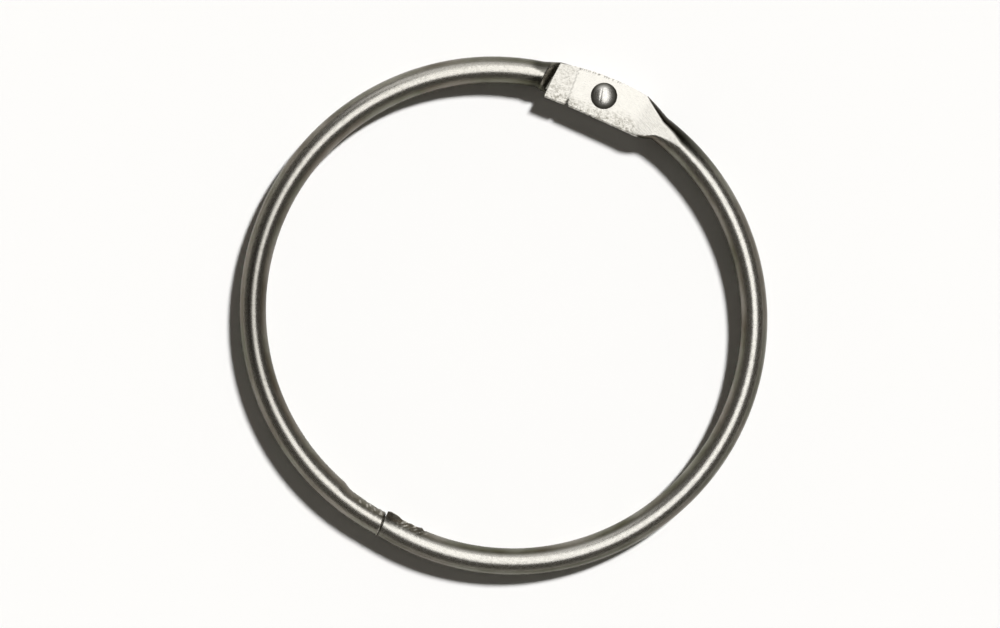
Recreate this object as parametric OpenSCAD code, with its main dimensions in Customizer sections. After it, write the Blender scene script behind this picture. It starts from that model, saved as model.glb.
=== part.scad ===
// Loose-leaf binder ring: two bowed halves rolled from steel strip into a thin wire, a flat
// clevis hinge with one domed rivet, and a plug that closes into an open socket.
// The ring lies flat in the XY plane. The origin is halfway between the rivet and the closure,
// at the middle of the wire's thickness. The rivet is on +Y and the closure on -Y.

/* [Ring] */
// Half the distance from the rivet's axis to the closure
ring_r = 32.8; // [25:0.1:45]
// How far the clevis half's arc centre lies outside the tongue half's
bow = 3.05; // [0:0.05:4]
// Outside diameter of the rolled wire
wire_d = 3.6; // [3.2:0.05:4.5]
// Thickness of the steel strip
wall = 0.55; // [0.45:0.05:0.7]
// Width of the seam where the strip's edges meet along the inside of the ring
seam_w = 0.2; // [0.1:0.05:0.4]

/* [Clevis] */
// Clearance on each face of the tongue
cheek_clear = 0.05; // [0.03:0.01:0.15]
// From the rivet to the cheeks' cut end, at their outer corner
cut_outer = 7.15; // [6:0.05:8.6]
// From the rivet to the cheeks' cut end, at their inner corner
cut_inner = 7.55; // [6:0.05:9]
// The cheeks' outer edge, out from the wire's centre line
cheek_out = 2.8; // [2.3:0.05:3.5]
// The cheeks' inner edge at the cut end, in from the rivet
cheek_in = 2.9; // [2.6:0.05:3.8]
// The cheeks' inner edge at the shoulder, in from the rivet
shoulder_in = 3.4; // [2.9:0.05:4.4]
// Room between the tongue's round end and the folded spine that joins the cheeks
spine_clear = 2.9; // [2.3:0.05:4]
// From the spine's start to where the cheeks begin to draw in
spine_len = 1.05; // [0.8:0.05:2]
// Length over which the shoulder draws in to the wire
shoulder_run = 1.9; // [1.2:0.05:3]
// How far the shoulder has drawn in halfway along
shoulder_ease = 0.15; // [0:0.05:0.4]
// How far before the cheeks' end their outer edge begins to draw in to the wire
taper_lead = 1.2; // [0.5:0.05:3]
// How far the slot between the cheeks runs on inside the wire
slot_past = 1.8; // [1.2:0.05:3]
// From the cheeks' end to where the clevis half is fully round
clevis_rise = 5.2; // [3.5:0.1:8]

/* [Tongue] */
// Width of the flattened tongue
tongue_w = 4.5; // [3.9:0.05:5.2]
// Clearance from the cheeks' cut end to where the tongue begins to rise to the round wire
cut_clear = 0.35; // [0.2:0.05:1.5]
// Length over which it rises to the wire's full height
tongue_rise = 1.0; // [0.7:0.1:4]
// Length over which it draws in to the wire's width
tongue_draw = 1.5; // [0.9:0.1:5]

/* [Rivet] */
// Diameter of the rivet's shank
shank_d = 1.9; // [1.4:0.05:2.3]
// Running clearance around the shank in the tongue, on the radius
shank_clear = 0.05; // [0.02:0.01:0.1]
// Clearance around the shank in the cheeks, on the radius
seat_clear = 0.02; // [0.01:0.01:0.05]
// Diameter of the upper, factory-made head
head_d = 3.6; // [2.8:0.05:4.3]
// Height of the upper head
head_h = 0.55; // [0.35:0.05:0.65]
// Diameter of the lower, clenched head
tail_d = 3.1; // [2.7:0.05:4.2]
// Height of the lower head
tail_h = 0.5; // [0.35:0.05:0.65]
// Height of the upright rim below each dome
rim_h = 0.1; // [0.05:0.01:0.2]

/* [Closure] */
// Gap between the two butt ends
butt_gap = 0.25; // [0.1:0.05:0.5]
// Length of the plug beyond the butt
plug_len = 4.6; // [3:0.1:6]
// Clearance around the plug in the socket, on the radius
plug_clear = 0.25; // [0.2:0.05:0.35]
// Length of the tongue half that is pressed in on the plug's root
crimp_len = 6.8; // [2:0.1:9]
// How far the tongue half is pressed in there, on the inside of the ring
crimp_in = 0.3; // [0:0.05:0.4]
// Length of the chamfer at the plug's tip
tip_len = 0.5; // [0.2:0.1:1]
// How far the chamfer draws the tip in, on the radius
tip_in = 0.35; // [0.1:0.05:0.5]
// Radius of the snap bump on the plug
bump_r = 0.5; // [0.3:0.05:0.55]
// How far the snap bump stands out of the plug
bump_out = 0.25; // [0.1:0.05:0.3]
// From the butt to the snap bump
bump_at = 3.1; // [2:0.1:3.9]
// Clearance beside the snap bump in the socket's window
bump_clear = 0.2; // [0.15:0.05:0.3]
// How far the window runs past the plug's tip
window_past = 1.2; // [0.5:0.1:2.5]
// Thickness of the rolled lips beside the window
lip_w = 0.5; // [0.3:0.05:0.6]
// How far the lips stand out of the wire, towards the middle of the ring
lip_out = 0.15; // [0.1:0.05:0.5]

/* [Hidden] */
$fn = 96;

wire_r = wire_d / 2;
bore_r = wire_r - wall;
clevis_r = sqrt(ring_r * ring_r + bow * bow);      // arc radius of the clevis half
tilt = atan(bow / ring_r);                         // turn of the clevis half at the rivet
tongue_t = 2 * wall;                               // the tongue is the wire pressed shut
slot_t = tongue_t + 2 * cheek_clear;
clevis_t = slot_t + 2 * wall;
plug_r = bore_r - plug_clear;
window_len = plug_len + window_past;
window_w = 2 * (bump_r + bump_clear);
eps = 0.01;
over = 1;                                          // how far a cut runs past what it cuts
sink = 0.05;                                       // how far a sloped face starts inside a flat
reach = 4 * wire_d;                                // side of the blocks that trim the butt ends

// Distances from the rivet along each half
spine_start = tongue_w / 2 + spine_clear;
cheek_end = spine_start + spine_len;
taper_start = cheek_end - taper_lead;
clevis_round = cheek_end + clevis_rise;
tongue_flat = max(cut_outer, cut_inner) + cut_clear;
tongue_round = tongue_flat + tongue_rise;
tongue_narrow = tongue_flat + tongue_draw;

// The plug follows a circle about the rivet, so that it draws straight out of the socket. Its
// circle is set to cross the socket's own arc partway along.
function socket_y(x) = -sqrt(clevis_r * clevis_r - (x - bow) * (x - bow));
function swing_y(x) = ring_r - sqrt(4 * ring_r * ring_r - x * x);
plug_shift = (swing_y(plug_len) - socket_y(plug_len)) / 2;
plug_swing_r = 2 * ring_r + plug_shift;

// The angle that a length takes up along an arc
function turn(len, r) = len / r * 180 / PI;
// The wire's centre line below the tangent at the rivet, at a distance t from the rivet
function drop(t, r) = r - sqrt(r * r - t * t);
// Half the width at which a plate of thickness t is just hidden inside the wire
function hidden_w(t) = sqrt(wire_r * wire_r - t * t / 4) - sink;

// A flat profile carried round an arc of radius r about the origin
module arc_sweep(r, from, to) {
    rotate_extrude(angle = to - from, start = from) translate([r, 0]) children();
}

// The clevis half's arc centre, and the rivet with X along the clevis half and Y outwards
module at_clevis_centre() { translate([bow, 0, 0]) children(); }
module at_clevis_hinge() { translate([0, ring_r, 0]) rotate(tilt) children(); }
// The rivet with X along the tongue half and Y outwards
module at_tongue_hinge() { translate([0, ring_r, 0]) mirror([1, 0, 0]) children(); }

// Everything above or below a pair of faces that slope from z0 at t0 to z1 at t1
module above_slopes(t0, z0, t1, z1) {
    depth = 2 * (wire_r + over);
    for (side = [0, 1]) mirror([0, 0, side])
        rotate([90, 0, 0]) linear_extrude(depth + 2 * drop(t1, ring_r), center = true)
            polygon([[t0, z0], [t1, z1], [t1, wire_d], [t0 - 2 * over, wire_d], [t0 - 2 * over, z0]]);
}

// Outline of one cheek, with the shoulder where it draws in to the wire
module cheek_outline() {
    shoulder_end = cheek_end + shoulder_run;
    far = clevis_round - over;
    intersection() {
        translate([0, -clevis_r]) circle(clevis_r + cheek_out, $fn = 360);
        polygon([
            [-cut_outer, cheek_out], [-cut_inner, -cheek_in], [cheek_end, -shoulder_in],
            [cheek_end + shoulder_run / 2, -shoulder_in + shoulder_ease],
            [shoulder_end, -drop(shoulder_end, clevis_r) - wire_r + sink],
            [far, -drop(far, clevis_r) - hidden_w(clevis_t)],
            [far, -drop(far, clevis_r) + hidden_w(clevis_t)],
            [taper_start, -drop(taper_start, clevis_r) + cheek_out],
            [taper_start - over, cheek_out + over], [-cut_outer, cheek_out + over]
        ]);
    }
}

// Space between the cheeks: open all round up to the spine, then inside the spine's wall
module slot_outline() {
    slot_end = cheek_end + slot_past;
    translate([-cut_inner - over, -shoulder_in - over])
        square([cut_inner + over + spine_start, shoulder_in + cheek_out + 2 * over]);
    intersection() {
        translate([0, -clevis_r]) circle(clevis_r + cheek_out - wall, $fn = 360);
        polygon([
            [spine_start - over, cheek_out], [taper_start, cheek_out],
            [slot_end, -drop(slot_end, clevis_r) + bore_r - sink],
            [slot_end, -shoulder_in - over], [spine_start - over, -shoulder_in - over]
        ]);
    }
}

// One half: the ring's wire, hinge cheeks and socket in a single rolled and folded strip
module clevis_half() {
    from = -90 - tilt - turn(over, clevis_r);
    hinge = 90 + tilt;
    color([0.66, 0.64, 0.58])
    difference() {
        union() {
            difference() {
                at_clevis_centre()
                    arc_sweep(clevis_r, from, hinge - turn(cheek_end - over, clevis_r)) circle(wire_r);
                at_clevis_hinge()
                    above_slopes(cheek_end - over, clevis_t / 2 - sink, clevis_round, wire_r + eps);
            }
            at_clevis_hinge() linear_extrude(clevis_t, center = true) cheek_outline();
            at_clevis_centre() socket_lips(from);
        }
        clevis_bore(from, hinge);
        at_clevis_hinge() linear_extrude(slot_t, center = true) slot_outline();
        at_clevis_hinge() cylinder(r = shank_d / 2 + seat_clear, h = clevis_t + over, center = true);
        at_clevis_centre()
            seam(clevis_r, from - over, hinge - turn(cheek_end + slot_past - eps, clevis_r));
        at_clevis_centre() window(from);
        past_butt(-1);
    }
}

// Everything past the butt line, towards +X or -X
module past_butt(side) {
    translate([side * (reach - butt_gap) / 2, -ring_r, 0]) cube(reach, center = true);
}

// The hollow of the clevis half, which narrows between the cheeks
module clevis_bore(from, hinge) {
    difference() {
        at_clevis_centre()
            arc_sweep(clevis_r, from - over, hinge - turn(cheek_end + over / 2, clevis_r)) circle(bore_r);
        at_clevis_hinge()
            above_slopes(cheek_end - over, slot_t / 2 - sink, clevis_round, bore_r + eps);
    }
}

// The thin gap between the strip's edges, along the inside of the ring
module seam(r, from, to) {
    arc_sweep(r, from, to)
        translate([-wire_r - over, -seam_w / 2]) square([wall + over + sink, seam_w]);
}

// The strip's edges stand apart and turn up beside the socket's window
module socket_lips(from) {
    lip_z = window_w / 2;
    arc_sweep(clevis_r, from, -90 - tilt + turn(window_len, clevis_r))
        for (side = [0, 1]) mirror([0, side])
            translate([-wire_r - lip_out, lip_z - sink]) square([lip_out + wall, lip_w + sink]);
}

// The opening in the socket's inner side, in which the snap bump rides
module window(from) {
    arc_sweep(clevis_r, from - over, -90 - tilt + turn(window_len, clevis_r))
        translate([-wire_r - lip_out - over, -window_w / 2])
            square([lip_out + over + wall + bump_out, window_w]);
}

// The other half: the same wire, pressed shut into a tongue at one end, with a plug at the other
module tongue_half() {
    butt = 270;
    color([0.62, 0.60, 0.54])
    difference() {
        union() {
            difference() {
                arc_sweep(ring_r, 90 + turn(tongue_flat - over, ring_r), butt + turn(over, ring_r))
                    circle(wire_r);
                at_tongue_hinge()
                    above_slopes(tongue_flat, tongue_t / 2 - sink, tongue_round, wire_r + eps);
                past_butt(1);
                crimp(butt);
            }
            at_tongue_hinge() linear_extrude(tongue_t, center = true) tongue_outline();
            plug();
        }
        tongue_bore(butt);
        at_tongue_hinge() cylinder(r = shank_d / 2 + shank_clear, h = tongue_t + over, center = true);
        seam(ring_r, 90 + turn(tongue_round - over, ring_r), butt - turn(butt_gap / 2 + eps, ring_r));
    }
}

// What is pressed in on the inside of the ring, behind the butt
module crimp(butt) {
    arc_sweep(ring_r, butt - turn(crimp_len, ring_r), butt + turn(over, ring_r))
        translate([-wire_r - over, -wire_r]) square([over + crimp_in, wire_d]);
}

// Round about the rivet, then a band along the wire that draws in to the wire's own width
module tongue_outline() {
    circle(tongue_w / 2);
    difference() {
        intersection() {
            translate([0, -ring_r]) circle(ring_r + tongue_w / 2, $fn = 360);
            polygon([
                [0, tongue_w], [tongue_flat, tongue_w],
                [tongue_flat, -drop(tongue_flat, ring_r) + tongue_w / 2],
                [tongue_narrow, -drop(tongue_narrow, ring_r) + hidden_w(tongue_t)],
                [tongue_narrow, -drop(tongue_narrow, ring_r) - hidden_w(tongue_t)],
                [tongue_flat, -drop(tongue_flat, ring_r) - tongue_w / 2], [tongue_flat, -tongue_w],
                [0, -tongue_w]
            ]);
        }
        translate([0, -ring_r]) circle(ring_r - tongue_w / 2, $fn = 360);
    }
}

// The hollow of the tongue half, which closes where the tongue begins and before the plug
module tongue_bore(butt) {
    difference() {
        arc_sweep(ring_r, 90 + turn(tongue_flat, ring_r), butt - turn(crimp_len, ring_r)) circle(bore_r);
        at_tongue_hinge()
            above_slopes(tongue_flat, sink, tongue_round, bore_r + eps);
    }
}

// Plug on a circle about the rivet, with a chamfered tip and a snap bump towards the ring's middle
module plug() {
    root = -turn(over, plug_swing_r);
    tip = turn(plug_len - tip_len, plug_swing_r);
    translate([0, ring_r, 0]) {
        arc_sweep(plug_swing_r, 270 + root, 270 + tip) circle(plug_r);
        rotate(tip - turn(sink, plug_swing_r)) translate([0, -plug_swing_r, 0]) rotate([0, 90, 0])
            cylinder(r1 = plug_r - eps, r2 = plug_r - tip_in, h = tip_len + sink);
        rotate(turn(bump_at, plug_swing_r))
            translate([0, -plug_swing_r + plug_r + bump_out - bump_r, 0]) sphere(bump_r);
    }
}

// A domed rivet head that sits on the plane z = 0
module rivet_head(d, h) {
    cap_h = h - rim_h;
    cap_r = (d * d / 4 + cap_h * cap_h) / (2 * cap_h);
    cylinder(d = d, h = rim_h);
    intersection() {
        translate([0, 0, h - cap_r]) sphere(cap_r);
        translate([0, 0, rim_h / 2]) cylinder(d = d, h = h);
    }
}

// Shank through both cheeks and the tongue, with a head on each side
module rivet() {
    color([0.55, 0.54, 0.50])
    translate([0, ring_r, 0]) {
        cylinder(d = shank_d, h = clevis_t + 2 * sink, center = true);
        translate([0, 0, clevis_t / 2]) rivet_head(head_d, head_h);
        translate([0, 0, -clevis_t / 2]) mirror([0, 0, 1]) rivet_head(tail_d, tail_h);
    }
}

clevis_half();
tongue_half();
rivet();
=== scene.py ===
# %% [markdown]
# # A binder ring
# The object is a loose-leaf ring: two bowed halves rolled from thin steel strip, a flat hinge with one
# domed rivet, and a closure where a plug slips into the other half's open end. It is small, so the
# numbers below are in millimetres, and only the finished meshes are turned into metres.
#
# The CAD frame already holds each part's true place and size. What its boxes can tell is read from
# them, so that the looks stay on the part if those sizes change.

import math

import bmesh
import bpy
import numpy as np
from mathutils import Matrix, Vector


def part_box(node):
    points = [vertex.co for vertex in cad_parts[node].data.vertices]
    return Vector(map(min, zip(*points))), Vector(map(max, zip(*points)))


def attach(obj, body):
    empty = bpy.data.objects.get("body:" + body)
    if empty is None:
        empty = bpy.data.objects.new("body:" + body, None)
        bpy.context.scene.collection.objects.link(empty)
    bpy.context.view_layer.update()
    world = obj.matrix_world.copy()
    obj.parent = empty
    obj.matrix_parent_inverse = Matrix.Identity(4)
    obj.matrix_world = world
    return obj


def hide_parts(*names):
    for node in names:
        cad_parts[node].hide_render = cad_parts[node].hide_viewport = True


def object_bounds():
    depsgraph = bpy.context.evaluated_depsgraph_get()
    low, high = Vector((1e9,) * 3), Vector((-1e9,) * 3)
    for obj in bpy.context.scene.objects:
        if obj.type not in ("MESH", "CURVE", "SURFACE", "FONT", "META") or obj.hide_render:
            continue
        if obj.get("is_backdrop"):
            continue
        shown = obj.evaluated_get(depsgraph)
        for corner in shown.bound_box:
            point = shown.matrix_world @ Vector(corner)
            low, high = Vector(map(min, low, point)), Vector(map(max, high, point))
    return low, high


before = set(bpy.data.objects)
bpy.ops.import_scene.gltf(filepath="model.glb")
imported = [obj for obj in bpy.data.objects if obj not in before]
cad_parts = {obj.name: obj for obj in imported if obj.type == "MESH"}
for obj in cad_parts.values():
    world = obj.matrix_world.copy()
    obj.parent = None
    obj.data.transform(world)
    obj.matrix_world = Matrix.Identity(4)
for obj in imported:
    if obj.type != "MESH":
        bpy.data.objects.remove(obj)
cad_low, cad_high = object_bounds()
MM = 0.001
print("CAD box in mm:", [round(v / MM, 2) for v in (*cad_low, *cad_high)])

# %% [markdown]
# ## The ring's two arcs
# The tongue half is an arc about the origin. The clevis half's arc has its centre a little to one side,
# which makes the closed ring slightly oval. Both pass through the rivet's axis, so the boxes of the
# CAD parts give every radius: the middle of the rivet's box is its axis, the top of the wire is the
# wire's radius, and the furthest point on +X gives the second arc's centre.
#
# The strip's own measures don't show in a box, so they are written here, once.

# %% Read the sizes
rivet_low, rivet_high = (np.array(corner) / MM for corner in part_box("rivet"))
_, clevis_high = (np.array(corner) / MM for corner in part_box("clevis_half"))
ring_r = (rivet_low[1] + rivet_high[1]) / 2         # radius of the tongue half's arc
wire_r = clevis_high[2]
reach = clevis_high[0] - wire_r                     # the wire's centre line at its furthest on +X
bow = (reach**2 - ring_r**2) / (2 * reach)          # how far to +X the clevis half's centre lies
clevis_r = math.hypot(ring_r, bow)                  # radius of the clevis half's arc
print(f"ring {ring_r:.2f}, wire {wire_r:.2f}, bow {bow:.2f}, clevis arc {clevis_r:.2f}")

strip = 0.55            # thickness of the steel
cheek_top = 1.15        # half the thickness over both cheeks
tongue_top = 0.55       # half the thickness of the pressed tongue
seam = 0.1              # half the gap between the strip's edges
butt_gap = 0.25         # gap between the two halves' ends
plug_aside = 0.13       # how far outside the wire's centre line the plug lies at the butt

# %% [markdown]
# ## Paths
# A half is a strip carried along its arc. A path turns a distance t from the rivet into a point and an
# outward direction in the ring's plane, for a whole array at once. The plug alone leaves the arc: it
# lies on a circle about the rivet, so that it draws straight out of the socket.

# %% Paths of the two halves
clevis_turn = math.pi / 2 + math.atan2(bow, ring_r)     # the rivet's angle from the clevis half's centre
clevis_butt = clevis_r * (clevis_turn + math.acos((butt_gap / 2 - bow) / clevis_r))
tongue_butt = math.pi * ring_r - butt_gap / 2
plug_swing = 2 * ring_r + plug_aside
print(f"the halves are {clevis_butt:.1f} and {tongue_butt:.1f} long")


def clevis_path(t):
    """The rivet's angle, less the distance over the radius, on a circle about (bow, 0)."""
    angle = clevis_turn - t / clevis_r
    out = np.stack([np.cos(angle), np.sin(angle)], -1)
    return np.array([bow, 0.0]) + clevis_r * out, out


def tongue_path(t):
    """A quarter turn plus the distance over the radius, about the origin. Past the butt the plug goes
    on, on its circle about the rivet."""
    angle = math.pi / 2 + t / ring_r
    out = np.stack([np.cos(angle), np.sin(angle)], -1)
    past = (t - math.pi * ring_r) / plug_swing
    plug_out = np.stack([np.sin(past), -np.cos(past)], -1)
    plug_at = np.array([0.0, ring_r]) + plug_swing * plug_out
    on_plug = (t > tongue_butt)[..., None]
    return np.where(on_plug, plug_at, ring_r * out), np.where(on_plug, plug_out, out)


# %% [markdown]
# ## Values along a path
# A press changes the strip's section slowly, so each measure of it is a short table of values at
# distances from the rivet, joined by lines and then rounded. Smooth steps and bells limit a mark of
# wear to its place, and random lines make burrs and spots uneven. Each random line has a seed of its
# own, so the ring comes out the same every time.

# %% Tables, steps, bells and random lines
def along(t, knots, soft=0.25):
    """The values at the knots joined by straight lines, then rounded by a running mean that is
    2 * soft wide. It returns one column, with a row for each station."""
    at, value = zip(*knots)
    nearby = np.linspace(-soft, soft, 9)
    return np.mean([np.interp(t + step, at, value) for step in nearby], 0)[:, None]


def ease(x, start, end):
    """0 before start and 1 after end, with a smooth step 3s^2 - 2s^3 between them."""
    s = np.clip((x - start) / (end - start), 0, 1)
    return s * s * (3 - 2 * s)


def hump(x, middle, half_width):
    """A bell of height 1: exp(-((x - middle) / half_width)^2)."""
    return np.exp(-(((x - middle) / half_width) ** 2))


def noise_line(x, seed, pitch):
    """Smooth random bumps, mostly between -1 and 1: the mean of six sines with random phases and
    pitches near the given one, times 1.6."""
    rng = np.random.default_rng(seed)
    waves = 2 * math.pi / pitch * rng.uniform(0.5, 1.8, 6)
    return np.sin(np.multiply.outer(x, waves) + rng.uniform(0, 2 * math.pi, 6)).mean(-1) * 1.6


def stations(*runs):
    """Distances along a path: (from, to, spacing) for each run, joined."""
    parts = [np.arange(start, stop, step) for start, stop, step in runs]
    return np.concatenate([*parts, [runs[-1][1]]])


# %% [markdown]
# ## The strip's section
# Every section of a half, from the flat cheeks to the round wire, is one family of curves: a flat top
# between two lines, with a quarter ellipse turned down on each side. With a flat of no width and equal
# radii it is the wire. With a wide flat and no turn on the inner side it is a pair of cheeks, joined
# by a folded spine. Changing the numbers slowly along the path gives the pressed shoulder between them,
# with no seam to hide.
#
# The free edges stop at a height `edge`: near nothing where the wire's seam is closed, more at the
# closure's open window, and the full height at the cheeks, which then aren't turned down at all.
# In a section y is the distance outwards from the wire's centre line, and z is the height.

# %% Sections
UPPER, ROUND = 34, 12           # points from the free edge to the flat's end, and round to the side
SIDE = UPPER + ROUND - 1        # the column of the outermost line
COLUMNS = 2 * SIDE + 1
print("points in a section:", COLUMNS)


def running_length(y, z):
    """The length along each row's broken line, from 0 at its first point."""
    return np.cumsum(np.hypot(np.diff(y, prepend=y[..., :1]), np.diff(z, prepend=z[..., :1])), -1)


def evenly(y, z, count):
    """Points at even distances along each row's broken line: its running length is cut into equal
    parts, and y and z are read off there. Each row's lengths are shifted past those of the row
    before, so that one interpolation does them all."""
    run = running_length(y, z)
    want = run[:, -1:] * np.linspace(0, 1, count)
    shift = 100.0 * np.arange(len(y))[:, None]
    wanted, known = (want + shift).ravel(), (run + shift).ravel()
    return [np.interp(wanted, known, line.ravel()).reshape(want.shape) for line in (y, z)]


def half_section(half, inset):
    """The upper half of the section at every station: a quarter ellipse from the free edge up to the
    flat, the flat, and a quarter ellipse down to the outermost line. inset moves it into the metal."""
    top, side = half["top"] - inset, half["side"] - inset
    flat_out = np.minimum(half["flat_out"], side - 0.01)
    turned = np.clip(1 - half["edge"] / half["top"], 0, 1)
    inner = half["inner"] + inset * turned
    flat_in = np.minimum(np.maximum(half["flat_in"], inner + 0.01), flat_out - 0.01)
    turn = np.arccos(np.clip(half["edge"] / top, 0, 1)) * np.linspace(1, 0, 30)
    y = np.concatenate([flat_in - (flat_in - inner) * np.sin(turn), flat_out], 1)
    z = np.concatenate([top * np.cos(turn), top], 1)
    y, z = evenly(y, z, UPPER)
    down = np.linspace(0, math.pi / 2, ROUND + 1)[1:]
    y = np.concatenate([y, flat_out + (side - flat_out) * np.sin(down)], 1)
    z = np.concatenate([z, top * np.cos(down)], 1)
    return y, z


def whole(y, z):
    """The upper half and its mirrored copy below z = 0, as one row from free edge to free edge."""
    return np.concatenate([y, y[:, -2::-1]], 1), np.concatenate([z, -z[:, -2::-1]], 1)


# %% [markdown]
# ## From grids to a closed shell
# Solidify could give the strip its thickness, but it can't thin the wall where the tongue is pressed
# shut, or leave the plug's end nearly solid. The inner skin is therefore a second grid, made from the
# same section with an inset, and the two are joined along every open edge. An open edge is one that
# only one face uses, so sorting the list of edges finds them all.

# %% Grid faces and walls
def grid_faces(rows, columns):
    """Four corners a face: a vertex, its neighbour along the row, and the same two on the next row."""
    number = np.arange(rows * columns).reshape(rows, columns)
    return np.stack([number[:-1, :-1], number[:-1, 1:], number[1:, 1:], number[1:, :-1]], -1)


def shell_faces(faces, count):
    """The outer faces, the inner ones turned over, and a wall under each edge that one face uses.
    count is the number of outer vertices, which the inner ones follow in the same order."""
    edges = np.stack([faces, np.roll(faces, -1, 1)], -1).reshape(-1, 2)
    _, first, uses = np.unique(np.sort(edges, 1), axis=0, return_index=True, return_counts=True)
    a, b = edges[first[uses == 1]].T
    walls = np.stack([b, a, a + count, b + count], 1)
    return np.concatenate([faces, faces[:, ::-1] + count, walls])


# %% Meshes and normals
def make_mesh(name, points, faces, layers):
    """A mesh object in metres from points in mm. Vertices that no face uses are left out, and each
    entry of layers, numbers or rows of three, becomes a point attribute that materials can read."""
    used, compact = np.unique(faces, return_inverse=True)
    mesh = bpy.data.meshes.new(name)
    mesh.from_pydata((points[used] * MM).tolist(), [], compact.reshape(faces.shape).tolist())
    for layer, values in layers.items():
        kind, slot = ("FLOAT", "value") if values.ndim == 1 else ("FLOAT_VECTOR", "vector")
        chosen = values[used].astype(np.float32).ravel()
        mesh.attributes.new(layer, kind, "POINT").data.foreach_set(slot, chosen)
    mesh.update()
    piece = bpy.data.objects.new(name, mesh)
    bpy.context.scene.collection.objects.link(piece)
    return piece


def face_out(piece):
    """Welds points in the same place and turns every face outwards."""
    bm = bmesh.new()
    bm.from_mesh(piece.data)
    bmesh.ops.remove_doubles(bm, verts=bm.verts, dist=0.0005 * MM)
    bmesh.ops.recalc_face_normals(bm, faces=bm.faces)
    open_edges = sum(not edge.is_manifold for edge in bm.edges)
    volume = bm.calc_volume(signed=True) / MM**3
    bm.to_mesh(piece.data)
    bm.free()
    print(f"{piece.name}: {len(piece.data.polygons)} faces, {open_edges} open edges, {volume:.1f} mm3")


# %% [markdown]
# ## Finishing a piece
# The strip is cut from sheet, so its edges are crisp but never knife-sharp. A narrow Bevel on edges
# over 40 degrees gives them a line of light. The rivet's hole is drilled with a Boolean, which is
# rounder than a hole that follows the grid's own faces. Both are applied, so the piece stays one plain
# mesh.

# %% Drill, bevel and smooth
def apply_modifiers(piece):
    """Puts the result of the modifiers into the mesh and takes them off."""
    evaluated = piece.evaluated_get(bpy.context.evaluated_depsgraph_get())
    mesh = bpy.data.meshes.new_from_object(evaluated)
    piece.modifiers.clear()
    old, piece.data = piece.data, mesh
    bpy.data.meshes.remove(old)


def drill(piece, radius, sides=96, half_long=3.0):
    """Cuts a round hole on the rivet's axis with a closed cylinder: two rings of points, where the
    angle goes round, with a wall between them and a disc on each."""
    angle = np.linspace(0, 2 * math.pi, sides, endpoint=False)
    ring = np.stack([radius * np.cos(angle), radius * np.sin(angle) + ring_r], 1)
    points = np.concatenate([np.c_[ring, np.full(sides, z)] for z in (-half_long, half_long)])
    low = np.arange(sides)
    walls = np.stack([low, (low + 1) % sides, (low + 1) % sides + sides, low + sides], 1).tolist()
    mesh = bpy.data.meshes.new("drill")
    mesh.from_pydata((points * MM).tolist(), [], [low[::-1].tolist(), (low + sides).tolist(), *walls])
    bit = bpy.data.objects.new("drill", mesh)
    bpy.context.scene.collection.objects.link(bit)
    cut = piece.modifiers.new("hole", "BOOLEAN")
    cut.object, cut.solver = bit, "EXACT"
    apply_modifiers(piece)
    bpy.data.objects.remove(bit)


def bevel(piece, width):
    """Rounds the edges where faces meet at more than 40 degrees."""
    rounded = piece.modifiers.new("edges", "BEVEL")
    rounded.width, rounded.segments = width * MM, 2
    rounded.limit_method, rounded.angle_limit = "ANGLE", math.radians(40)
    apply_modifiers(piece)


def smooth(piece, angle=32):
    """Shades smoothly, but for edges sharper than the angle."""
    piece.data.shade_smooth()
    piece.data.set_sharp_from_angle(angle=math.radians(angle))


# %% [markdown]
# ## The clevis half
# From the cheeks' cut end to the butt this is one strip. The two cheeks lie flat above and below the
# tongue, a short spine joins them on the outer side, and then the flat narrows to a point while the
# sides roll in to the wire. The tables below follow the strip: each entry is a distance from the
# rivet and the measure there, out from the wire's centre line or up from it.

# %% Clevis half: its sizes and stations
cut_mid, cut_slant = -7.5, 0.31     # the cut end at the centre line, and its lean for each mm outwards
edge_in, edge_lean = 3.1745, 0.03636    # how far in the straight inner edge is, and its lean
shoulder_at = 6.8                   # where the straight inner edge ends
spine_at = 5.15                     # where the folded spine begins
round_at = 12.4                     # where the flat has narrowed to nothing
# The crease across the cheek is only painted: a dark line of painted shade, with no fold in the steel.
nick_at = -4.45                     # a nick in the inner edge, and a crease across the cheek
window, window_half = 5.8, 0.7      # length of the closure's open window, and half its width
butt_slant = 0.128                  # lean of the butt's cut, for each mm outwards
fine_end = 6.6                      # the last stretch before the butt, where stations are close

t = stations((cut_mid, -2.5, 0.11), (-2.5, spine_at, 0.14), (spine_at, round_at + 0.2, 0.11),
             (round_at + 0.2, clevis_butt - fine_end, 0.6), (clevis_butt - fine_end, clevis_butt, 0.1))
from_butt = clevis_butt - t
window_at = clevis_butt - window
rows = len(t)
print("stations along the clevis half:", rows)

# %% [markdown]
# The cheeks' inner edge is a straight line, but the strip is bent, so the line is written as a distance
# from the arc: a line at a distance d from the centre has the radius d / cos of the angle from its
# nearest point. The cheeks' outer edges are a little ragged from the shears, and a nick cuts into the
# inner ones.

# %% Clevis half: its measures
phi = t / clevis_r
straight = (clevis_r - edge_in) / (np.cos(phi) + edge_lean * np.sin(phi)) - clevis_r
on_straight = t < shoulder_at
nick = 0.4 * hump(t, nick_at, 0.16)[:, None]
ragged = 0.035 * (0.5 + 0.5 * noise_line(t, 3, 1.8))[:, None] * (t < spine_at)[:, None]
fold = along(t, [(5.15, 0.15), (5.9, 0.50), (7.2, 0.85), (8.5, 1.10), (10.6, 1.40), (round_at, wire_r)])

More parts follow.
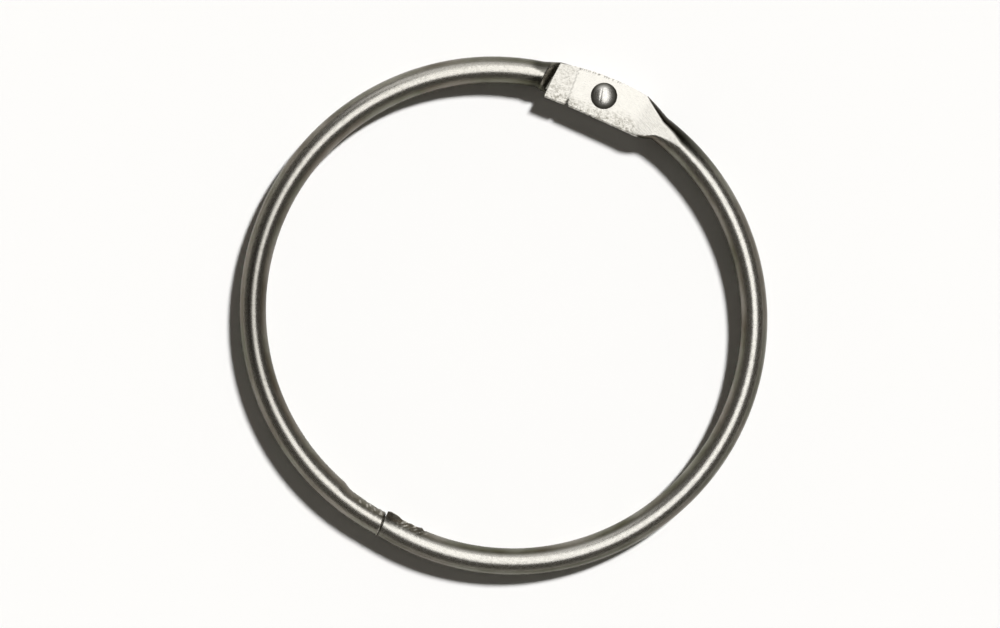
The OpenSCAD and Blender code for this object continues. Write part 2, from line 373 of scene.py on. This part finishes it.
side = along(t, [(5.0, 2.8), (8.75, wire_r)], 0.3) - ragged
edge_knots = [*zip(t[on_straight], straight[on_straight]), (7.78, -2.4), (8.75, -wire_r)]
flat_knots = [*zip(t[on_straight], straight[on_straight] + 0.03), (7.78, -2.1), (8.75, -1.2),
              (9.6, -0.85), (10.6, -0.55), (round_at, 0.0)]
clevis = {
    "side": side,
    "inner": along(t, edge_knots, 0.15) + nick,
    "top": along(t, [(5.3, cheek_top), (round_at, wire_r)], 0.6),
    "edge": along(t, [(6.7, 1.3), (8.9, seam), (window_at - 0.1, seam), (window_at + 0.1, window_half)],
                  0.1),
    "flat_out": side - fold,
    "flat_in": np.minimum(along(t, flat_knots, 0.2) + nick, side - fold - 0.02),
}
print(f"cheeks {side[0, 0] - clevis['inner'][0, 0]:.2f} wide at the cut end")

# %% [markdown]
# ## Bending and pressing
# Each section is set square across the path, and both skins are carried along it together. Two things
# aren't square: the strip's ends are cut at a slant, and beside the window the strip's edges are turned
# up into rough lips, as the press left them.

# %% Clevis half: bend and press it
lip_out, lip_wide = 0.32, 0.55      # how far the lips are turned up, and how wide they are


def lips(y, z):
    """Beside the window the points near the free edge move towards the ring's middle, by the square
    of how near the edge they are. Burrs, the product of two random lines, lift and drop the steel
    there by a few hundredths of its height."""
    there = (1 - ease(from_butt, window - 0.7, window))[:, None]
    near_edge = np.clip(1 - running_length(y, z) / lip_wide, 0, 1) ** 2
    bumps = 0.4 + 0.6 * hump(from_butt, 0.7, 0.8) + 0.4 * hump(from_butt, 5.0, 0.5)
    bumps = (bumps + 0.25 * noise_line(from_butt, 5, 1.3)) * (0.35 + 0.65 * ease(from_butt, 0, 0.5))
    burrs = noise_line(from_butt, 31, 0.9)[:, None] * noise_line(y, 33, 0.8) * ease(-y, 0.6, 1.0)
    return y - lip_out * near_edge * there * bumps[:, None], z * (1 + 0.09 * burrs * there)


def carried(path, t, slant, y, z, nudge):
    """Sections carried along a path: the path's point, plus y outwards and z up. slant moves a
    station along the path by so much for each mm outwards, which leans the strip's cut ends. nudge
    moves single points further along."""
    at, out = path(t[:, None] + slant[:, None] * y + nudge(y))
    return np.concatenate([at + out * y[..., None], z[..., None]], -1)


def skins(path, t, slant, measures, wall, shape, nudge=lambda y: 0):
    """The outer and inner skin of a half, and the outer section's y and z."""
    outer_y, outer_z = whole(*shape(*half_section(measures, 0)))
    inner_y, inner_z = whole(*shape(*half_section(measures, wall)))
    outer = carried(path, t, slant, outer_y, outer_z, nudge)
    inner = carried(path, t, slant, inner_y, inner_z, nudge)
    return np.concatenate([outer.reshape(-1, 3), inner.reshape(-1, 3)]), outer_y, outer_z


def close_up(y):
    """At the butt the inner side reaches 0.14 mm further, so that no light gap shows there."""
    return 0.14 * ease(-y, 0.5, 1.4) * (1 - ease(from_butt, 0, 0.8))[:, None]


slant = cut_slant * (1 - ease(t, cut_mid, -2.5)) - butt_slant * ease(t, clevis_butt - 3, clevis_butt)
points, y, z = skins(clevis_path, t, slant, clevis, strip, lips, close_up)

# Before the spine the cheeks are apart, so the faces that would join their outer sides are left out.
faces = grid_faces(rows, COLUMNS)
open_side = np.zeros((rows - 1, COLUMNS - 1), bool)
open_side[t[:-1] < spine_at - 1e-6, UPPER - 1:COLUMNS - UPPER] = True
faces = faces[~open_side]
print("faces before the walls:", len(faces))

# %% [markdown]
# ## What a material needs to know
# Wear isn't the same everywhere, and some shade is painted in. The crown of the wire keeps the bright
# metal colour, and its flanks are painted darker, painted shade in the colour of a brown film. The
# cheeks are scuffed near their inner edge and near the cut end. These belong to places on the strip, so
# they are worked out here, on the same grid as the shape, and stored as point attributes. A pattern
# drawn on the attribute `strip`, the distances along and across the steel, follows the wire round every
# bend.

# %% Wear and painted shade, as attributes
def wear_layers(t, y, z, scuff, stain_and_shade, rubbed):
    """Painted shade on the flanks: 0 where the section leans by less than about 22 degrees and 1 beyond
    50, a little less on the outer side, and less the rubbed spots. strip is the place along and across
    the steel in mm. The scuffs and the stains with painted shade are passed on. The inner skin gets the
    outer one's values."""
    dy, dz = np.gradient(y, axis=1), np.gradient(z, axis=1)
    lean = np.abs(dz) / np.maximum(np.hypot(dy, dz), 1e-9)
    flank_shade = ease(lean, 0.38, 0.76) * (1 - 0.05 * ease(y, -0.3, 0.3)) * (1 - rubbed)
    run = running_length(y, z)
    run = run - run[:, SIDE:SIDE + 1]
    place = np.stack([np.broadcast_to(t[:, None], y.shape), run, 0 * y], -1)
    layers = {"flank_shade": flank_shade, "strip": place, "scuff": np.broadcast_to(scuff, y.shape),
              "stain_and_shade": np.clip(np.broadcast_to(stain_and_shade, y.shape), 0, 1)}
    return {name: np.concatenate([values.reshape(-1, *values.shape[2:])] * 2)
            for name, values in layers.items()}


def spots(along, across, seed):
    """Scattered spots, 1 inside and 0 outside: where two random lines that cross at a slant add up
    to much."""
    both = noise_line(along + 0.6 * across, seed, 1.5) + noise_line(along - 1.3 * across, seed + 1, 1.1)
    return ease(both, 0.25, 0.7)


# %% [markdown]
# ## Wear and painted shade on the clevis half
# Each mark is a product of steps and bells, one for its stretch along the strip and one for its place
# across it. A scuff is where the plating is dull and speckled, a stain mark darkens the colour, and a
# rubbed spot is where the flanks' painted shade is left off. The stain marks here are painted shade in
# the fold, at the shoulder, in the crease and the nick, at the lips and on the outer flank, and dark
# dashes along the outer edge.

# %% Clevis half: scuffs and rubbed spots
along_t = t[:, None]
on_cheek = 1 - ease(along_t, 5.0, 9.0)
near_inner = ease(-y, 1.0, 2.6)
near_cut = 1 - ease(along_t, -5.2, -4.2)
worn_spot = hump(along_t, 4, 1.3) * ease(-y, 0.3, 1.5)
on_lips = (1 - ease(from_butt, window - 0.6, window + 0.6))[:, None] * ease(-y, 0.7, 1.3)
scuff = 0.75 * near_inner + 0.5 * near_cut + 0.5 * worn_spot
scuff = 0.20 - 0.15 * on_cheek + on_cheek * np.clip(scuff, 0, 1)
scuff = np.maximum(scuff, on_lips)
rubbed = 0.85 * on_lips * spots(along_t, y, 41) * ease(from_butt, 1.4, 2.2)[:, None]

# %% Clevis half: painted shade and dark marks
in_from_edge = y - clevis["inner"]
past_fold = y - clevis["flat_out"]
# Painted shade along the rounded fold of the spine.
fold_shade = ease(past_fold, 0.0, 0.3) * ease(along_t, 4.9, 5.6) * (1 - ease(along_t, 11.0, 20.0))
# Painted shade at the shoulder, beside the inner edge.
shoulder_shade = 0.8 * hump(along_t, 7.2, 0.9) * (1 - ease(in_from_edge, 0.05, 0.5))
# Painted shade: a crease drawn as a dark line across the top cheek.
crease_shade = 0.40 * hump(along_t + 0.15 * noise_line(y, 9, 0.8), nick_at, 0.10) * (past_fold < 0)
# Painted shade in and beside the nick.
nick_shade = hump(along_t, nick_at, 0.20) * (1 - ease(in_from_edge, 0.2, 0.9))
dashes = (noise_line(t, 21, 0.4) > 0.15)[:, None] * hump(past_fold, -0.10, 0.12)
dashes = dashes * ease(along_t, -5.0, -4.4) * (1 - ease(along_t, 0.9, 1.8))
# Painted shade at the butt's inner side and at the far end of the window.
lip_shade = 0.7 * ease(-y, 0.15, 0.6) * hump(from_butt, 0.3, 1.1)[:, None]
lip_shade = lip_shade + 0.5 * on_lips * hump(from_butt, 5.1, 0.5)[:, None]
# Painted shade: a darker band along the clevis half's outer flank, where the wire mirrors the floor.
outer_flank_shade = 0.4 * hump(y, 1.35, 0.25) * ease(along_t, 12.0, 30.0)
stain_and_shade = fold_shade + shoulder_shade + crease_shade + nick_shade + dashes + lip_shade + outer_flank_shade
stain_and_shade = np.where(on_cheek > 0.5, stain_and_shade * (z > 0), stain_and_shade)

# %% Clevis half: make it
layers = wear_layers(t, y, z, scuff, stain_and_shade, rubbed)
clevis_piece = make_mesh("clevis_strip", points, shell_faces(faces, rows * COLUMNS), layers)
face_out(clevis_piece)
drill(clevis_piece, 0.97)
bevel(clevis_piece, 0.06)
smooth(clevis_piece)

# %% [markdown]
# ## The tongue half
# The other half is the same wire, but at the hinge it is pressed quite shut, so two layers of steel
# lie between the cheeks, and a steep dark step leads up from them to the wire just past the cheeks'
# cut. At its other end the strip is narrowed and rolled again into the plug. The plug's seam is shut,
# so there the first and last column of the grid are made the same points.

# %% Tongue half: its sizes and stations
tongue_r = 2.25                         # radius of the tongue's round end, and half its width
plug_len, plug_r, plug_bore = 4.6, 1.0, 0.45
bump_at = 3.1                           # from the plug's root to its snap bump
crimp_len, crimp_in = 6.8, 0.3          # the stretch pressed in before the butt, and how far
step_at, step_len = 7.6, 1.0            # where the step up to the wire begins, and its length

end = tongue_butt
plug_start = end + butt_gap / 2
plug_end = plug_start + plug_len
wire_t = stations((-2.1, 6.6, 0.3), (6.6, 10.6, 0.08), (10.6, end - 8.4, 0.6),
                  (end - 8.4, end - 0.2, 0.14), (end - 0.2, end, 0.05))
face_t = np.full(3, end + 1e-4)         # three rings of the butt's face, from the wire in to the plug
plug_t = np.concatenate([np.arange(plug_start, plug_end - 0.5, 0.1),
                         np.linspace(plug_end - 0.5, plug_end, 6)])
t = np.concatenate([wire_t, face_t, plug_t])
rows, on_plug = len(t), t > end
print("stations along the tongue half:", rows)

# %% [markdown]
# ## The press, the crimp and the plug
# The same section is used, with other tables. Past the press every ring is a circle, so one list of
# radii sets them: the wire, its eased edge, the plug's root with a small fillet, and the rounded tip.
# The three rings of the butt's face have radii of their own. The crimp then presses the inner side in.

# %% Tongue half: its measures
radius = np.interp(t, [end - 0.06, end, end + 1e-5, end + 0.2, end + 0.45, plug_end - 0.5, plug_end],
                   [wire_r, wire_r - 0.05, 1.2, 1.17, plug_r, plug_r, 0.65])
radius[len(wire_t):len(wire_t) + 3] = [1.4, 1.3, 1.2]
radius = radius[:, None]
round_end = np.sqrt(np.clip(tongue_r**2 - np.minimum(t, 0) ** 2, 0.3, None))[:, None]
pressed_side = np.minimum(along(t, [(step_at, tongue_r), (9.3, wire_r)], 0.25), round_end)
step_up = along(t, [(step_at, tongue_top), (step_at + step_len, wire_r)], 0.12)
at_hinge = (t < 10.4)[:, None]
pressed = crimp_in * ease(t, end - crimp_len - 0.9, end - crimp_len + 0.7) * ~on_plug
pressed = pressed * (1 + 0.12 * noise_line(t, 11, 1.1))

side = np.where(at_hinge, pressed_side, radius)
flat_out = np.maximum(side - along(t, [(step_at, 0.5), (step_at + step_len, wire_r)], 0.15), 0)
tongue = {
    "side": side,
    "inner": -side + pressed[:, None],
    "top": np.where(at_hinge, step_up, radius),
    "edge": along(t, [(step_at, 0.03), (step_at + 1.2, seam)], 0.1) * ~on_plug[:, None],
    "flat_out": flat_out,
    "flat_in": -flat_out,
}

# The wall is the strip's, but the end behind the plug is nearly solid, and the plug has a fine bore.
solid = np.interp(t, [end - 1.2, end - 0.7], [0, 1])[:, None]
wall = along(t, [(step_at, strip - 0.02), (9.0, strip)], 0.1) * (1 - solid)
wall = wall + (radius - plug_bore) * solid
wall[on_plug] = np.minimum(radius[on_plug] - 0.15, radius[on_plug] - plug_bore)


# %% Tongue half: bend it
def snap_bump(y, z):
    """A round bump on the plug's inner side: a ball of 0.5 mm radius that stands 0.25 mm out of it."""
    off = np.hypot((t - end - butt_gap / 2 - bump_at)[:, None], z)
    height = np.sqrt(np.clip(0.5**2 - off**2, 0, None)) - 0.25
    return y - np.clip(height, 0, None) * (y < 0) * on_plug[:, None], z


slant = butt_slant * ease(t, end - 3, end) * ~on_plug
slant = slant - cut_slant * (1 - ease(t, 8.0, 10.5)) * ease(t, -1, 2.5)
points, y, z = skins(tongue_path, t, slant, tongue, wall, snap_bump)
grid = np.arange(rows * COLUMNS).reshape(rows, COLUMNS)
grid[on_plug, -1] = grid[on_plug, 0]
faces = grid.ravel()[grid_faces(rows, COLUMNS)].reshape(-1, 4)
print("faces before the walls:", len(faces))

# %% [markdown]
# ## Wear and painted shade on the tongue half
# The recess past the cheeks' cut is painted dark, painted shade, and the step beside the bright point
# where the wire begins is painted dark too, painted shade that narrows the crown's highlight to a point.
# A long stretch past the middle of the half is darker on its crown and inner side. The inner side before
# the butt is scuffed from opening and closing, and painted shade darkens it at the butt.

# %% Tongue half: scuffs and painted shade
along_t = t[:, None]
step_top = step_at + step_len
on_crimp = ease(along_t, end - 6.5, end - 3.5) * ease(-y, 0.5, 1.0)
scuff = 0.22 + 0.6 * on_crimp
rubbed = 0.7 * on_crimp * spots(along_t, y, 45)

# Darker along a stretch past the middle of the half, on the crown and the inner side.
darker_stretch = hump(along_t, 65, 19) * (0.32 + 0.45 * ease(y, -0.3, 0.1)) * (1 - ease(y, 0.35, 0.9))
# Painted shade on the step beside a narrowing wedge, so the crown's highlight ends in a point.
beside_point = ease(np.abs(y + 0.1) - 0.32 * (along_t - step_top), 0.0, 0.25)
step_shade = 0.75 * beside_point * ease(along_t, step_top - 0.2, step_top) * (z > 0)
step_shade = step_shade * (1 - ease(along_t, 9.8, 11.0))
# Painted shade in the recess past the cheeks' cut.
recess_shade = 0.8 * (1 - ease(along_t, step_at + 0.3, step_at + 0.9)) * (z > 0)
# Painted shade on the inner side at the butt.
butt_shade = 0.5 * hump(along_t, end, 0.25) * (y < -0.6)
stain_and_shade = darker_stretch + butt_shade + step_shade + recess_shade

# %% Tongue half: make it
layers = wear_layers(t, y, z, scuff, stain_and_shade, rubbed)
tongue_piece = make_mesh("tongue_strip", points, shell_faces(faces, rows * COLUMNS), layers)
face_out(tongue_piece)
drill(tongue_piece, 1.0)
bevel(tongue_piece, 0.05)
smooth(tongue_piece)

# %% [markdown]
# ## The rivet
# A rivet is turned, so its surface is one profile spun about the hinge's axis: a domed factory head,
# the shank, and a flatter head below, which was formed by the press and has a shallow dimple. The
# press also left a faint crease across the upper dome. The heads cover the holes' edges.

# %% Rivet: its profile
SPOKES = 96
head_r, tail_r, shank_r = 1.8, 1.55, 0.95
rim, chamfer = 0.1, 0.04                # height of the heads' straight rim, and the cut under it
head_h, tail_h = rivet_high[2] - cheek_top, -rivet_low[2] - cheek_top


def dome(r, radius, height):
    """Height of a spherical cap of that height over a circle of that radius, at a distance r."""
    ball = (radius**2 + height**2) / (2 * height)
    return np.sqrt(np.clip(ball**2 - r**2, 0, None)) - (ball - height)


up_r = head_r * np.sin(np.linspace(0, math.pi / 2, 34))
down_r = tail_r * np.sin(np.linspace(math.pi / 2, 0, 26))
neck_r = [head_r, head_r - chamfer, shank_r, shank_r, tail_r - chamfer, tail_r]
neck_z = [cheek_top + chamfer, cheek_top, cheek_top, -cheek_top, -cheek_top, -cheek_top - chamfer]
head_z = cheek_top + rim + dome(up_r, head_r, head_h - rim)
dimple = 0.12 * hump(down_r, 0, 0.45)
tail_z = -cheek_top - rim - dome(down_r, tail_r, tail_h - rim) + dimple
profile_r = np.concatenate([up_r, neck_r, down_r])
profile_z = np.concatenate([head_z, neck_z, tail_z])

# %% Rivet: spin it
turns = np.linspace(0, 2 * math.pi, SPOKES, endpoint=False)
x, y = profile_r[:, None] * np.cos(turns), profile_r[:, None] * np.sin(turns)
z = np.repeat(profile_z[:, None], SPOKES, 1)
# The crease: a narrow valley along a line to one side of the middle, fading out towards the rim
from_line = 0.95 * x + 0.31 * y + 0.42
valley = 0.022 * hump(from_line, 0, 0.11) * np.clip(1 - np.hypot(x, y) / 1.3, 0, 1) ** 0.5
z = z - valley * (z > 0)

grid = np.arange(z.size).reshape(z.shape)
beside = np.roll(grid, -1, 1)
faces = np.stack([grid[:-1], beside[:-1], beside[1:], grid[1:]], -1).reshape(-1, 4)
run = np.broadcast_to(running_length(profile_r, profile_z)[:, None], z.shape)
place = np.stack([np.broadcast_to(turns * head_r, z.shape), run, 0 * z], -1)
# Painted shade: the rivet's dome goes darker towards its rim.
layers = {"flank_shade": ease(np.hypot(x, y), 1.0, 1.7).ravel(), "scuff": np.full(z.size, 0.3),
          "stain_and_shade": np.zeros(z.size), "strip": place.reshape(-1, 3)}
rivet_piece = make_mesh("rivet_turned", np.stack([x, y + ring_r, z], -1).reshape(-1, 3), faces, layers)
face_out(rivet_piece)
smooth(rivet_piece, 50)

# %% [markdown]
# ## Every piece to its body
# The rivet is clenched in the cheeks, so it moves with the clevis half. The tongue half swings.

# %% Ride, replace, slot
for piece, node, body in ((clevis_piece, "clevis_half", "clevis_half"),
                          (tongue_piece, "tongue_half", "tongue_half"),
                          (rivet_piece, "rivet", "clevis_half")):
    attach(piece, body)
    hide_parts(node)
    print(piece.name, "takes the place of", node, "and rides on", body)

# %% [markdown]
# ## The plating
# All three pieces are nickel-plated steel that has been handled for years. What they share is one node
# group: fine drawing lines along the strip, mottled scuffs, dark specks where the plating is pitted,
# painted shade on the flanks in the colour of a brown film, and dark marks, most of them painted shade.
# It puts out a colour, a roughness and a height, and each material places it with its own amounts, so
# the rivet can be brighter than the strip without a second group.

# %% Node helpers
def add(tree, kind, inputs=(), **settings):
    """Adds a node. inputs is a dict of socket name or number to a value, or to a socket to wire in."""
    node = tree.nodes.new(kind)
    for name, value in settings.items():
        setattr(node, name, value)
    for key, value in dict(inputs).items():
        if isinstance(value, bpy.types.NodeSocket):
            tree.links.new(value, node.inputs[key])
        else:
            node.inputs[key].default_value = value
    return node


def between(tree, value, low, high, to_low=0.0, to_high=1.0):
    """Maps low..high to to_low..to_high, and holds it there outside."""
    ends = {"From Min": low, "From Max": high, "To Min": to_low, "To Max": to_high}
    return add(tree, "ShaderNodeMapRange", {"Value": value, **ends}).outputs["Result"]


def times(tree, a, b):
    """a times b, each a number or a socket."""
    return add(tree, "ShaderNodeMath", {0: a, 1: b}, operation="MULTIPLY").outputs[0]


def plus(tree, a, b):
    """a plus b, each a number or a socket."""
    return add(tree, "ShaderNodeMath", {0: a, 1: b}, operation="ADD").outputs[0]


def scaled(tree, vector, factor):
    """A vector or a colour, times a number."""
    return add(tree, "ShaderNodeVectorMath", {0: vector, "Scale": factor}, operation="SCALE").outputs[0]


def mixed(tree, share, a, b):
    """The colour a, with a share of b laid over it."""
    inputs = {"Factor": share, "A": a, "B": b}
    return add(tree, "ShaderNodeMix", inputs, data_type="RGBA").outputs["Result"]


def noise(tree, place, scale, detail, stretch=(1, 1, 1)):
    """Noise at a place in mm, with its own scale on each axis."""
    spread = add(tree, "ShaderNodeVectorMath", {0: place, 1: stretch}, operation="MULTIPLY").outputs[0]
    inputs = {"Vector": spread, "Scale": scale, "Detail": detail, "Roughness": 0.62}
    return add(tree, "ShaderNodeTexNoise", inputs).outputs["Fac"]


# %% Worn and shaded plating: its sockets
WHITE, DARK = (1, 1, 1, 1), (0.1, 0.1, 0.1, 1)
plating = bpy.data.node_groups.new("worn_plating_and_shade", "ShaderNodeTree")
for name, kind, value in (("Place", "Vector", (0, 0, 0)), ("Strip", "Vector", (0, 0, 0)),
                          ("Flank_shade", "Float", 0), ("Scuff", "Float", 0), ("Stain_and_shade", "Float", 0),
                          ("Pits", "Float", 0), ("Bright", "Color", WHITE), ("Dull", "Color", DARK),
                          ("Film_and_shade", "Color", DARK), ("Olive", "Color", DARK)):
    socket = plating.interface.new_socket(name, in_out="INPUT", socket_type=f"NodeSocket{kind}")
    socket.default_value = value
for name, kind in (("Colour", "Color"), ("Roughness", "Float"), ("Height", "Float")):
    plating.interface.new_socket(name, in_out="OUTPUT", socket_type=f"NodeSocket{kind}")
given = add(plating, "NodeGroupInput").outputs
out = add(plating, "NodeGroupOutput")

# %% [markdown]
# ## The marks of wear and painted shade
# The patterns differ mainly in scale, in cells for each mm. The drawing lines are noise that changes
# slowly along the strip and fast across it. The scuffed patches are fine noise inside larger areas, and
# a broad noise decides whether the dark colour of the flanks' painted shade, the pits and the stains is
# more brown or more olive.

# %% Worn and shaded plating: its patterns
lines = noise(plating, given["Strip"], 1.0, 3, (1.1, 9.0, 1.0))
grain = noise(plating, given["Place"], 4.5, 3)
patches = between(plating, noise(plating, given["Place"], 2.3, 5), 0.47, 0.66)
areas = between(plating, noise(plating, given["Place"], 0.42, 2), 0.42, 0.58, 0.3, 1.0)
patches = times(plating, patches, areas)
pits = between(plating, noise(plating, given["Place"], 2.6, 4), 0.60, 0.68)
fine = between(plating, plus(plating, grain, times(plating, lines, 0.6)), 0.68, 1.0)
# How strongly the flanks' painted shade lies, varied by a broad noise.
cover = between(plating, noise(plating, given["Place"], 0.16, 2), 0.35, 0.65, 1.0, 0.78)
tone = between(plating, noise(plating, given["Place"], 0.09, 1), 0.44, 0.56)

scuffed = times(plating, patches, given["Scuff"])
speckled = times(plating, times(plating, fine, given["Scuff"]), 0.55)
pitted = times(plating, pits, times(plating, given["Pits"], given["Scuff"]))

# %% Worn and shaded plating: colour, roughness and height
film_and_shade = mixed(plating, tone, given["Film_and_shade"], given["Olive"])
colour = mixed(plating, scuffed, given["Bright"], given["Dull"])
colour = mixed(plating, speckled, colour, given["Dull"])
# Painted shade: where the section leans, the colour goes to the dark brown.
colour = mixed(plating, times(plating, given["Flank_shade"], cover), colour, film_and_shade)
colour = mixed(plating, pitted, colour, film_and_shade)
# The stain marks and painted shade lay a dark brown over the colour.
colour = mixed(plating, given["Stain_and_shade"], colour, scaled(plating, film_and_shade, 0.3))
plating.links.new(colour, out.inputs["Colour"])

rough = plus(plating, 0.25, times(plating, scuffed, 0.18))
rough = plus(plating, rough, between(plating, lines, 0.35, 0.65, -0.03, 0.05))
rough = plus(plating, rough, times(plating, given["Flank_shade"], 0.12))
plating.links.new(rough, out.inputs["Roughness"])

height = plus(plating, times(plating, lines, 0.35), times(plating, grain, 0.35))
height = plus(plating, height, times(plating, scuffed, 0.6))
plating.links.new(height, out.inputs["Height"])
print("nodes in the plating group:", len(plating.nodes))

# %% [markdown]
# ## Materials
# Each material holds its own Principled shader, a plain metal, and wires the group's colour, roughness
# and height to it. The halves differ only in how yellow the nickel has gone. The rivet's metal is
# brighter, with fewer pits.

# %% Materials
def plated(name, bright, dull, film_and_shade, olive, pits, bump):
    """A metal with the plating group on it, its wear and painted shade, from the piece's own attributes.
    """
    material = bpy.data.materials.new(name)
    material.use_nodes = True
    tree = material.node_tree
    shader = tree.nodes["Principled BSDF"]
    place = scaled(tree, add(tree, "ShaderNodeTexCoord").outputs["Object"], 1 / MM)
    wear_and_shade = add(tree, "ShaderNodeGroup", {"Place": place}, node_tree=plating)
    for socket, layer, output in (("Strip", "strip", "Vector"), ("Flank_shade", "flank_shade", "Fac"),
                                  ("Scuff", "scuff", "Fac"), ("Stain_and_shade", "stain_and_shade", "Fac")):
        read = add(tree, "ShaderNodeAttribute", attribute_name=layer)
        tree.links.new(read.outputs[output], wear_and_shade.inputs[socket])
    for socket, colour in (("Bright", bright), ("Dull", dull), ("Film_and_shade", film_and_shade), ("Olive", olive)):
        wear_and_shade.inputs[socket].default_value = (*colour, 1)
    wear_and_shade.inputs["Pits"].default_value = pits
    tree.links.new(wear_and_shade.outputs["Colour"], shader.inputs["Base Color"])
    tree.links.new(wear_and_shade.outputs["Roughness"], shader.inputs["Roughness"])
    relief = {"Height": wear_and_shade.outputs["Height"], "Strength": bump, "Distance": 0.03 * MM}
    tree.links.new(add(tree, "ShaderNodeBump", relief).outputs["Normal"], shader.inputs["Normal"])
    shader.inputs["Metallic"].default_value = 1
    return material


BROWN, OLIVE = (0.124, 0.105, 0.078), (0.100, 0.098, 0.064)
looks = {
    clevis_piece: plated("rubbed_nickel_with_shade", bright=(0.68, 0.66, 0.61), dull=(0.27, 0.25, 0.20),
                         film_and_shade=BROWN, olive=OLIVE, pits=0.8, bump=0.5),
    tongue_piece: plated("handled_nickel_with_shade", bright=(0.67, 0.645, 0.59), dull=(0.27, 0.25, 0.20),
                         film_and_shade=BROWN, olive=OLIVE, pits=0.8, bump=0.5),
    rivet_piece: plated("rivet_nickel", bright=(0.78, 0.765, 0.72), dull=(0.38, 0.36, 0.32),
                        film_and_shade=(0.12, 0.11, 0.09), olive=(0.11, 0.11, 0.085), pits=0.5, bump=0.3),
}
for piece, look in looks.items():
    piece.data.materials.clear()
    piece.data.materials.append(look)
    print(piece.name, "is", look.name)

# %% [markdown]
# ## Floor
# A plain pale sheet that lies where the ring's lowest points are. It is lit to just under white, so
# that it stays clean and still shows the ring's shadow, and it has no gloss. It is large enough that
# low views don't see its edge.

# %% Floor
half = 8.0                      # half the sheet's width, in metres
corners = [(x, y, cad_low.z) for x, y in ((-half, -half), (half, -half), (half, half), (-half, half))]
sheet = bpy.data.meshes.new("floor")
sheet.from_pydata(corners, [], [(0, 1, 2, 3)])
floor = bpy.data.objects.new("floor", sheet)
bpy.context.scene.collection.objects.link(floor)
floor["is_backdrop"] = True
paper = bpy.data.materials.new("paper")
paper.use_nodes = True
shader = paper.node_tree.nodes["Principled BSDF"]
shader.inputs["Base Color"].default_value = (0.93, 0.925, 0.915, 1)
shader.inputs["Roughness"].default_value = 1
shader.inputs["Specular IOR Level"].default_value = 0
sheet.materials.append(paper)
print(f"floor {2 * half:.0f} m wide, {-cad_low.z / MM:.2f} mm below the wire's middle")

# %% [markdown]
# ## Light
# Polished wire shows what is round it, so the lamps are placed for what the metal should mirror. A
# long soft box overhead is what the flat cheeks and the crown of the wire see. A dimmer, window-like
# panel lower down gives the crown's streak its soft skirt. The key lamp is a sun that lights the floor
# and draws the shadow, and the metal doesn't mirror it. The room is dim overhead, which leaves the
# wire's shoulders dark, but pale walls stand round it: the world brightens towards the horizon, and
# the metal shows them when it is seen from the side.

# %% Lamps
LIGHT_SIDE = 72                 # azimuth of the key lamp, from +X towards +Y
CAMERA_TURN = 27.4              # how far the camera is turned about Z


def toward(azimuth, elevation):
    """The direction at that azimuth from +X towards +Y, and that elevation, as a unit vector."""
    a, e = math.radians(azimuth), math.radians(elevation)
    return Vector((math.cos(a) * math.cos(e), math.sin(a) * math.cos(e), math.sin(e)))


def lamp_of(name, kind, azimuth, elevation):
    """A lamp one metre off in that direction that faces the origin, with its own Y axis lined up
    with the camera's."""
    lamp = bpy.data.objects.new(name, bpy.data.lights.new(name, kind))
    bpy.context.scene.collection.objects.link(lamp)
    back = toward(azimuth, elevation)
    side = toward(CAMERA_TURN + 90, 0).cross(back).normalized()
    lamp.location = back
    lamp.rotation_euler = Matrix((side, back.cross(side), back)).transposed().to_euler()
    return lamp


def soft_box(name, azimuth, elevation, half_wide, half_tall, radiance):
    """An oval that fills a cone of those half angles. Its power is radiance times pi times its area.
    It is there for the metal to mirror, and the floor doesn't see it."""
    lamp = lamp_of(name, "AREA", azimuth, elevation)
    lamp.data.shape = "ELLIPSE"
    lamp.data.size = 2 * math.tan(math.radians(half_wide))
    lamp.data.size_y = 2 * math.tan(math.radians(half_tall))
    lamp.data.energy = radiance * math.pi * math.pi * lamp.data.size * lamp.data.size_y / 4
    lamp.visible_diffuse = lamp.visible_camera = False
    print(f"{name}: {lamp.data.energy:.2f} W")


key = lamp_of("key", "SUN", LIGHT_SIDE, 44)
key.data.energy, key.data.angle = 4.45, math.radians(8)
key.visible_glossy = False
soft_box("overhead", LIGHT_SIDE + 4, 80, half_wide=18, half_tall=31, radiance=1.56)
soft_box("window", 120, 38, half_wide=26, half_tall=20, radiance=0.66)

# %% Room
walls, ceiling = 0.70, 0.068    # how strongly they glow
walls_end, ceiling_start = 0.07, 0.24       # heights of a direction: the sine of its elevation
world = bpy.data.worlds.new("studio")
bpy.context.scene.world = world
world.use_nodes = True
room = world.node_tree
direction = add(room, "ShaderNodeTexCoord").outputs["Generated"]
upward = add(room, "ShaderNodeSeparateXYZ", {0: direction}).outputs["Z"]
glow = between(room, upward, walls_end, ceiling_start, walls, ceiling)
room.links.new(glow, room.nodes["Background"].inputs["Strength"])
room.nodes["Background"].inputs["Color"].default_value = (1.0, 0.94, 0.83, 1)
print(f"room glows {walls} at the walls and {ceiling} overhead")

# %% [markdown]
# ## Camera
# The camera looks straight down, turned so that the hinge is at the upper right, with a long lens that
# keeps the wire's thickness nearly the same all the way round.

# %% Camera
low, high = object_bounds()
seen_width = 136.5 * MM         # what the frame shows across, at the ring's middle
aside = 0.5 * MM                # how far the view's middle is from the ring's, on X and on Y
camera = bpy.data.objects.new("camera", bpy.data.cameras.new("camera"))
bpy.context.scene.collection.objects.link(camera)
bpy.context.scene.camera = camera
camera.data.lens = 100
camera.location = ((low.x + high.x) / 2 - aside, (low.y + high.y) / 2 - aside,
                   seen_width * camera.data.lens / camera.data.sensor_width)
camera.rotation_euler = (0, 0, math.radians(CAMERA_TURN))
camera.data.clip_start, camera.data.clip_end = 0.01, 30
bpy.context.scene.view_settings.view_transform = "Standard"
print("camera at", [round(v, 4) for v in camera.location])
